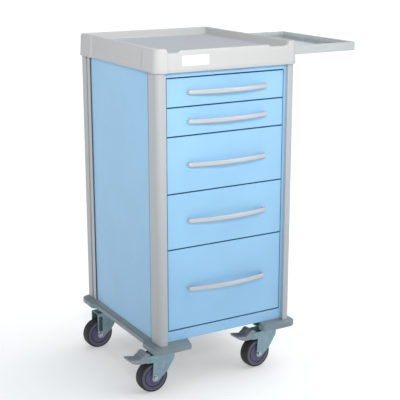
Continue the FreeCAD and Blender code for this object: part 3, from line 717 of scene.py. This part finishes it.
def bumper(side):
    """C-shaped bumper, side -1 at the left: an upright face, a rounded edge and a top that climbs inward."""
    low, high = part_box("left_bumper" if side < 0 else "right_bumper")
    outer = max(abs(low.x - CENTRE.x), abs(high.x - CENTRE.x))
    tip = min(abs(low.x - CENTRE.x), abs(high.x - CENTRE.x))
    end = (high.y - low.y) / 2
    waist = 13 * MM                 # how far the run between the corners is set in
    straight = outer - waist
    inner_x = 228 * MM
    inner_y = 255 * MM
    bulge = 196 * MM
    tip_reach = 14 * MM
    tip_inset = 7.5                 # mm, less than the tip's own corner radius
    points = [(tip, -inner_y, 2), (tip, -end, 9), (outer, -end, 30), (outer, -bulge, 18),
              (straight, -bulge + waist, 12), (straight, bulge - waist, 12), (outer, bulge, 18),
              (outer, end, 30), (tip, end, 9), (tip, inner_y, 2), (inner_x, inner_y, 6),
              (inner_x, -inner_y, 6)]
    outline = rounded([(a, b, r * MM) for a, b, r in points], 6.0)
    # (height, inset) in mm
    profile = [(0.0, 4.6), (0.3, 2.4), (1.2, 1.0), (2.6, 0.2), (4.2, 0.0), (14.6, 0.0), (15.9, 0.3),
               (16.9, 1.1), (17.6, 2.4), (18.2, 4.2), (19.4, 7.0), (20.9, 10.4), (22.3, 13.2), (23.3, 15.5)]
    rings = []
    for up, depth in profile:
        ring = []
        limited = min(depth, tip_inset)
        for here, full, short in zip(outline, inset(outline, depth * MM), inset(outline, limited * MM)):
            moved = short if here.x < tip + tip_reach else full
            if abs(here.x) < inner_x + 3 * MM and abs(here.y) < inner_y + 3 * MM:
                moved = Vector((max(here.x, tip + limited * MM), here.y))
            ring.append(Vector((CENTRE.x + side * moved.x, CENTRE.y + moved.y, low.z + up * MM)))
        rings.append(ring)
    moulding = rings_mesh(rings)
    under_body = high.z / MM
    front = filler(-281.0, 167.4, -263.6, -256.0, under_body)
    front_outline = rounded([(CENTRE.y + a * MM, b * MM, r * MM) for a, b, r in front], 30.0)
    across = sorted((CENTRE.x + side * (tip + 2.5 * MM), CENTRE.x + side * 215.5 * MM))
    front_filler = slab(front_outline, soft_levels(*across, 1.6 * MM), "x")
    flank = filler(247.0, 167.8, 240.2, 230.0, under_body)
    flank_outline = rounded([(CENTRE.x + side * a * MM, b * MM, r * MM) for a, b, r in flank], 30.0)
    along = (CENTRE.y - 214.5 * MM, CENTRE.y + 202.5 * MM)
    side_filler = slab(flank_outline, soft_levels(*along, 1.0 * MM), "y")
    name = "left_bumper_moulding" if side < 0 else "right_bumper_moulding"
    return finish_mesh(name, *merge(moulding, front_filler, side_filler), 32.0)


# ---- handles ------------------------------------------------------------------------------------
def handle(number):
    """Bow handle: a rounded bar that swells towards its middle and turns in to the front at its ends."""
    low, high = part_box("drawer_%d_handle" % number)
    centre = middle((low, high))
    half = (high.x - low.x) / 2
    face_y = high.y
    depth = high.y - low.y
    bar = 10 * MM
    foot = 18 * MM - bar / 2        # the bar's middle line at its ends, from the drawer's front
    crown = depth - bar / 2         # and at its middle
    turn = 6 * MM
    reach = half - bar / 2
    leg = [(-reach, 0.0), (-reach, foot - turn)]
    for k in range(1, 6):
        angle = math.pi / 2 * k / 5
        leg.append((-reach + turn * (1 - math.cos(angle)), foot - turn + turn * math.sin(angle)))
    start_x = reach - turn
    radius = (start_x ** 2 + (crown - foot) ** 2) / (2 * (crown - foot))
    sweep = math.asin(start_x / radius)
    path = list(leg)
    for k in range(1, 41):
        angle = -sweep + sweep * 2 * k / 40
        path.append((radius * math.sin(angle), crown - radius + radius * math.cos(angle)))
    path += [(-x, out) for x, out in leg[-2::-1]]
    squareness = 0.75
    segments = 20
    rings = []
    for i, (x, out) in enumerate(path):
        before = Vector(path[max(0, i - 1)])
        after = Vector(path[min(len(path) - 1, i + 1)])
        along = (after - before).normalized()
        across = Vector((-along.y, along.x))
        swell = 1 - (abs(x) / half) ** 2
        thick = (4.2 + 0.8 * swell) * MM
        tall = (6.3 + 0.6 * swell) * MM
        ring = []
        for k in range(segments):
            angle = 2 * math.pi * k / segments
            outward = math.copysign(abs(math.cos(angle)) ** squareness, math.cos(angle))
            upward = math.copysign(abs(math.sin(angle)) ** squareness, math.sin(angle))
            here = Vector((x, out)) + across * thick * outward
            ring.append(Vector((centre.x + here.x, face_y - here.y, centre.z + tall * upward)))
        rings.append(ring)
    return finish_mesh("drawer_%d_bow_handle" % number, *rings_mesh(rings), 60.0)


def gap_shade_band(number):
    """Painted shade: a dark navy band round the edges of a drawer front, set back in the gaps to darken them."""
    low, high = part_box("drawer_%d_front" % number)
    outline = rectangle(low, high, 0.0, 1.0 * MM, "xz")
    rings = []
    # mm outside the front's edge, and behind its face
    for out, back in ((-0.6, 1.5), (1.3, 1.5), (1.6, 1.9), (1.6, 11.6), (1.2, 12.0), (-0.6, 12.0)):
        ring = inset(outline, -out * MM)
        rings.append([Vector((p.x, low.y + back * MM, p.y)) for p in ring])
    return finish_mesh("drawer_%d_dust_seal" % number, *rings_mesh(rings, closed=True), 40.0)


def panel_joint_shade_strips():
    """Painted shadow: dark strips where the sheet panels meet the corner columns, just below the columns' faces,
    drawing the shadow lines of these joints.
    """
    width = 2.4 * MM
    sink = 0.4 * MM                 # how far it reaches into the panel and the column
    below = 0.6 * MM                # how far it stays behind the column's face
    corner = 0.3 * MM
    clearance = 1 * MM
    parts = []
    for node, axis, outward, columns in (
            ("left_side_panel", 0, -1, ("front_left_column", "rear_left_column")),
            ("right_side_panel", 0, 1, ("front_right_column", "rear_right_column")),
            ("back_panel", 1, 1, ("rear_left_column", "rear_right_column"))):
        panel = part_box(node)
        face = panel[outward > 0][axis]
        for column, inward in zip(columns, (1, -1)):
            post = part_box(column)
            proud = post[outward > 0][axis] - outward * below
            edge = post[inward > 0][1 - axis]
            across = sorted((face - outward * sink, proud))
            along = sorted((edge - inward * sink, edge + inward * width))
            (x0, x1), (y0, y1) = (across, along) if axis == 0 else (along, across)
            outline = rounded([(x0, y0, corner), (x1, y0, corner), (x1, y1, corner), (x0, y1, corner)], 30.0)
            low = max(panel[0].z, post[0].z) + clearance
            high = min(panel[1].z, post[1].z) - clearance
            parts.append(slab(outline, [(low, 0.0), (high, 0.0)]))
    return finish_mesh("panel_joint_shade_strips", *merge(*parts), 40.0)


# ---- casters ------------------------------------------------------------------------------------
AXIS_GAP = 0.02                 # mm, keeps a turned end's innermost ring off its axis


def caster_place(name):
    """Frames of one caster, -X trailing and Y along the axle: on the floor below the swivel, on the axle."""
    swivel = Vector(JOINTS[name + "_swivel"]["pos_m"])
    spin = JOINTS[name + "_wheel_spin"]
    spindle = Vector(spin["axis"]).normalized()
    forward = spindle.cross(Vector((0, 0, 1)))
    turn = Matrix((forward, spindle, Vector((0, 0, 1)))).transposed().to_4x4()
    trail = (Vector(spin["pos_m"]) - swivel).to_2d().length
    place = Matrix.Translation((swivel.x, swivel.y, 0)) @ turn
    return place, place @ Matrix.Translation((-trail, 0, spin["pos_m"][2]))


def wheel_part(name, profile, centre, sharp):
    """Turned piece, alike on both sides of the wheel, from half a (radius, side) profile in millimetres."""
    near = [(r * MM, y * MM) for r, y in profile]
    far = [(r, -y) for r, y in near[::-1] if y]
    return finish_mesh(name, *lathe(near + far, centre, 96), sharp)


def tyre(name, centre):
    """Tread ring with a crowned tread and rounded shoulders."""
    profile = [(44.4, -16.6), (44.8, -17.8), (46.0, -17.9), (47.6, -17.2), (49.0, -15.6), (50.0, -13.0),
               (50.6, -9.5), (50.9, -5.0), (51.0, 0.0)]
    return wheel_part(name + "_tread", profile, centre, 45.0)


def tyre_wall(name, centre):
    """Paler inner band of the tyre, between the tread and the wheel centre."""
    profile = [(33.6, -15.6), (34.2, -16.6), (35.6, -17.2), (42.4, -17.3), (44.2, -16.9), (44.6, -16.0)]
    return wheel_part(name + "_tyre_band", profile, centre, 45.0)


def hub(name, centre):
    """Wheel centre: a dished disc inside a dark groove, and a bearing boss."""
    profile = [(5.1, -19.9), (9.4, -19.9), (10.4, -19.0), (11.0, -17.2), (12.5, -16.2), (14.5, -15.6),
               (20.0, -15.2), (26.2, -15.6), (29.0, -16.4), (30.5, -16.2), (31.2, -14.8), (31.5, -12.4),
               (33.7, -12.4)]
    return wheel_part(name + "_wheel_centre", profile, centre, 35.0)


def axle(name, centre):
    """Bolt through both legs: washers, a chamfered hexagon at each end and a short bare tip."""
    shank = [(0.0, -24.0), (9.0, -24.0), (9.4, -23.6), (9.4, -23.0), (5.0, -23.0), (5.0, 23.0), (9.4, 23.0),
             (9.4, 23.6), (9.0, 24.0), (4.0, 24.0), (4.0, 30.4), (3.4, 31.0), (0.0, 31.0)]
    parts = [lathe([(max(r, AXIS_GAP) * MM, y * MM) for r, y in shank], centre, 40)]
    for face in (-1, 1):
        corners = [(7.5 * math.cos(k * math.pi / 3), 7.5 * math.sin(k * math.pi / 3), 0.5) for k in range(6)]
        levels = [(face * 23.9, 0.0), (face * 27.6, 0.0), (face * 28.6, 0.5), (face * 28.9, 1.3)]
        levels = sorted((y * MM, depth * MM) for y, depth in levels)
        parts.append(slab(scaled_outline(corners, 20.0), levels, "y", centre))
    return finish_mesh(name + "_axle_bolt", *merge(*parts), 30.0)


# outlines of the fork's legs in mm: (along, up, corner radius)
LEG = [(-76, 129, 3), (27, 129, 5), (27, 106, 9), (0, 66, 60), (-35, 37, 10.5), (-57, 37, 10.5),
       (-51, 104, 3), (-76, 106, 3)]
PLAIN_LEG = [(-56, 129, 3), (27, 129, 5), (27, 106, 9), (0, 66, 60), (-35, 37, 10.5), (-57, 37, 10.5)]
PANEL = [(-42, 116, 5), (6, 116, 5), (-6, 86, 20), (-31, 62, 7), (-44, 62, 7)]
PANEL_DEPTH = 0.7
RECESS = [(-52, 117, 3), (-37, 117, 3), (-37, 62, 6), (-52, 62, 6)]
RECESS_DEPTH = 1.8
LEG_INSIDE = 20.5
LEG_OUTSIDE = 23.0
PIN = (-66, 116)                # the pedal's pin
PIN_HOLE = 4.2


def fork(name, place, braked):
    """Pressed fork: two legs with a pressed panel, joined by a crown, with the ball race above."""
    outline = scaled_outline(LEG if braked else PLAIN_LEG)
    panel, depth = (PANEL, PANEL_DEPTH) if braked else (RECESS, RECESS_DEPTH)
    parts = []
    for y0, y1 in ((-LEG_OUTSIDE, -LEG_INSIDE), (LEG_INSIDE, LEG_OUTSIDE)):
        parts.append(slab(outline, soft_levels(y0 * MM, y1 * MM, 0.8 * MM), "y", place))
    legs = finish_mesh(name + "_pressed_fork", *merge(*parts))
    cutters = []
    for face in (-1, 1):
        levels = [((LEG_OUTSIDE - depth) * face, 1.0), ((LEG_OUTSIDE - depth + 0.1) * face, 0.7),
                  ((LEG_OUTSIDE + 0.3) * face, 0.0)]
        levels = sorted((y * MM, inward * MM) for y, inward in levels)
        cutters.append(finish_mesh("cutter", *slab(scaled_outline(panel), levels, "y", place)))
    if braked:
        for face in (-1, 1):
            hole = [(PIN[0] + PIN_HOLE * math.cos(k * math.pi / 10),
                     PIN[1] + PIN_HOLE * math.sin(k * math.pi / 10), 0) for k in range(20)]
            levels = sorted((face * y * MM, 0.0) for y in (LEG_INSIDE - 2, LEG_OUTSIDE + 2))
            cutters.append(finish_mesh("cutter", *slab(scaled_outline(hole), levels, "y", place)))
    carve(legs, *cutters)
    tail = -50 if braked else -55
    wide = LEG_OUTSIDE
    plate = scaled_outline([(tail, -wide, 3), (27, -wide, 3), (27, wide, 3), (tail, wide, 3)], 18.0)
    crown = slab(plate, soft_levels(126 * MM, 129.4 * MM, 1.2 * MM), "z", place)
    ring = scaled_outline([(29 * math.cos(math.pi * k / 24), 29 * math.sin(math.pi * k / 24), 0)
                           for k in range(48)])
    levels = [(129.0, 0.0), (134.5, 0.0), (136.0, 1.2), (136.4, 4.0), (139.5, 4.2)]
    race = slab(ring, [(z * MM, inward * MM) for z, inward in levels], "z", place)
    return legs, finish_mesh(name + "_fork_crown", *merge(crown, race))


def recess_shade_strip(name, place):
    """Painted shade: a dark strip on the floor of the recess in each plain leg, sunk a little into the floor,
    standing for the shade in the recess.
    """
    outline = inset(scaled_outline(RECESS), 1.2 * MM)
    back = 2.1
    face_depth = 1.0
    parts = []
    for face in (-1, 1):
        levels = sorted(face * y * MM for y in (LEG_OUTSIDE - back, LEG_OUTSIDE - face_depth))
        parts.append(slab(outline, [(y, 0.0) for y in levels], "y", place))
    return finish_mesh(name + "_fork_recess_shade", *merge(*parts))


HEEL = -100.0                   # mm from the swivel, where the pad is lowest
HEEL_HEIGHT = 123.0
PAD_TIP = -135.5


def pad_height(x):
    """Height of the pedal's pad: steep between the pin and the heel, then climbing gently to the tip."""
    return HEEL_HEIGHT + max(0.77 * (x - HEEL), -0.2 * (x - HEEL))


def pedal(name, place):
    """Toe pedal: a dished pad with side skirts and cross ribs, on an arm between the fork legs."""
    profile = [(-57, 107, 6), (-57, 124, 5), (-66, 138, 4), (-75, 142.0, 3), (HEEL, HEEL_HEIGHT, 9),
               (PAD_TIP, pad_height(PAD_TIP), 0.8), (PAD_TIP, 127.2, 0.8), (-129, 119, 5),
               (-116, 112.5, 12), (-100, 108.5, 20), (-78, 107.5, 6)]
    parts = [slab(scaled_outline(profile, 12.0), soft_levels(-22 * MM, 22 * MM, 1.4 * MM), "y", place)]
    for k in range(6):
        x = -82.0 - 9.2 * k
        here = Vector((x, pad_height(x)))
        along = (Vector((x - 2.0, pad_height(x - 2.0))) - Vector((x + 2.0, pad_height(x + 2.0)))).normalized()
        up = Vector((along.y, -along.x))
        rib = [here - along * 3.6 - up * 1.5, here + along * 1.6 + up * 2.6, here + along * 2.8 + up * 2.2,
               here + along * 3.4 - up * 1.5]
        outline = scaled_outline([(p.x, p.y, 0.6) for p in rib], 30.0)
        parts.append(slab(outline, soft_levels(-20 * MM, 20 * MM, 0.5 * MM, 2), "y", place))
    pin = [(AXIS_GAP, -23.6), (3, -23.6), (3, 23.6), (AXIS_GAP, 23.6)]
    parts.append(lathe([(r * MM, y * MM) for r, y in pin],
                       place @ Matrix.Translation((PIN[0] * MM, 0, PIN[1] * MM)), 24))
    return finish_mesh(name + "_toe_pedal", *merge(*parts), 40.0)


def make_casters():
    """All four casters, each in its own place."""
    for name in CASTERS:
        place, centre = caster_place(name)
        braked = name in BRAKED
        add(tyre(name, centre), name + "_wheel", "tyre_black", name + "_tyre")
        add(tyre_wall(name, centre), name + "_wheel", "hub_grey", finish="hub_band")
        add(hub(name, centre), name + "_wheel", "hub_grey", name + "_hub")
        legs, crown = fork(name, place, braked)
        add(legs, name + "_caster", "zinc_steel", name + "_fork")
        add(crown, name + "_caster", "zinc_steel")
        add(axle(name, centre), name + "_caster", "bolt_steel", name + "_axle")
        if braked:
            add(pedal(name, place), name + "_brake", "pedal_grey", name + "_brake_pedal")
        else:
            # painted shade in the recess of each plain fork leg
            add(recess_shade_strip(name, place), name + "_caster", "zinc_steel", finish="painted_shade_blue")


# ---- the whole cart -----------------------------------------------------------------------------
def carry_over():
    """Give every CAD node its finish."""
    slots = {part["node"]: part["material_slot"] for part in frame["record"]["subparts"]}
    for node, piece in frame["nodes"].items():
        piece.data.materials.clear()
        piece.data.materials.append(FINISHES[slots[node]])


FINISHES = make_materials()
camera()
studio()
backdrop()
carry_over()
add(worktop_tray(), "cabinet", "tray_grey", "worktop_tray")
add(label(), "cabinet", "label_white", "label_plate")
add(shelf_frame(), "side_shelf", "shelf_frame_grey", "side_shelf_frame")
add(bumper(-1), "cabinet", "bumper_grey", "left_bumper")
add(bumper(1), "cabinet", "bumper_grey", "right_bumper")
for number in DRAWERS:
    add(handle(number), "drawer_%d" % number, "handle_silver", "drawer_%d_handle" % number)
    # painted shade: a dark navy band behind the gaps round each drawer front
    add(gap_shade_band(number), "drawer_%d" % number, "tyre_black", finish="gap_shade_navy")
# painted shadow lines at the joints between the panels and the columns
add(panel_joint_shade_strips(), "cabinet", "tyre_black", finish="painted_shade_blue")
make_casters()
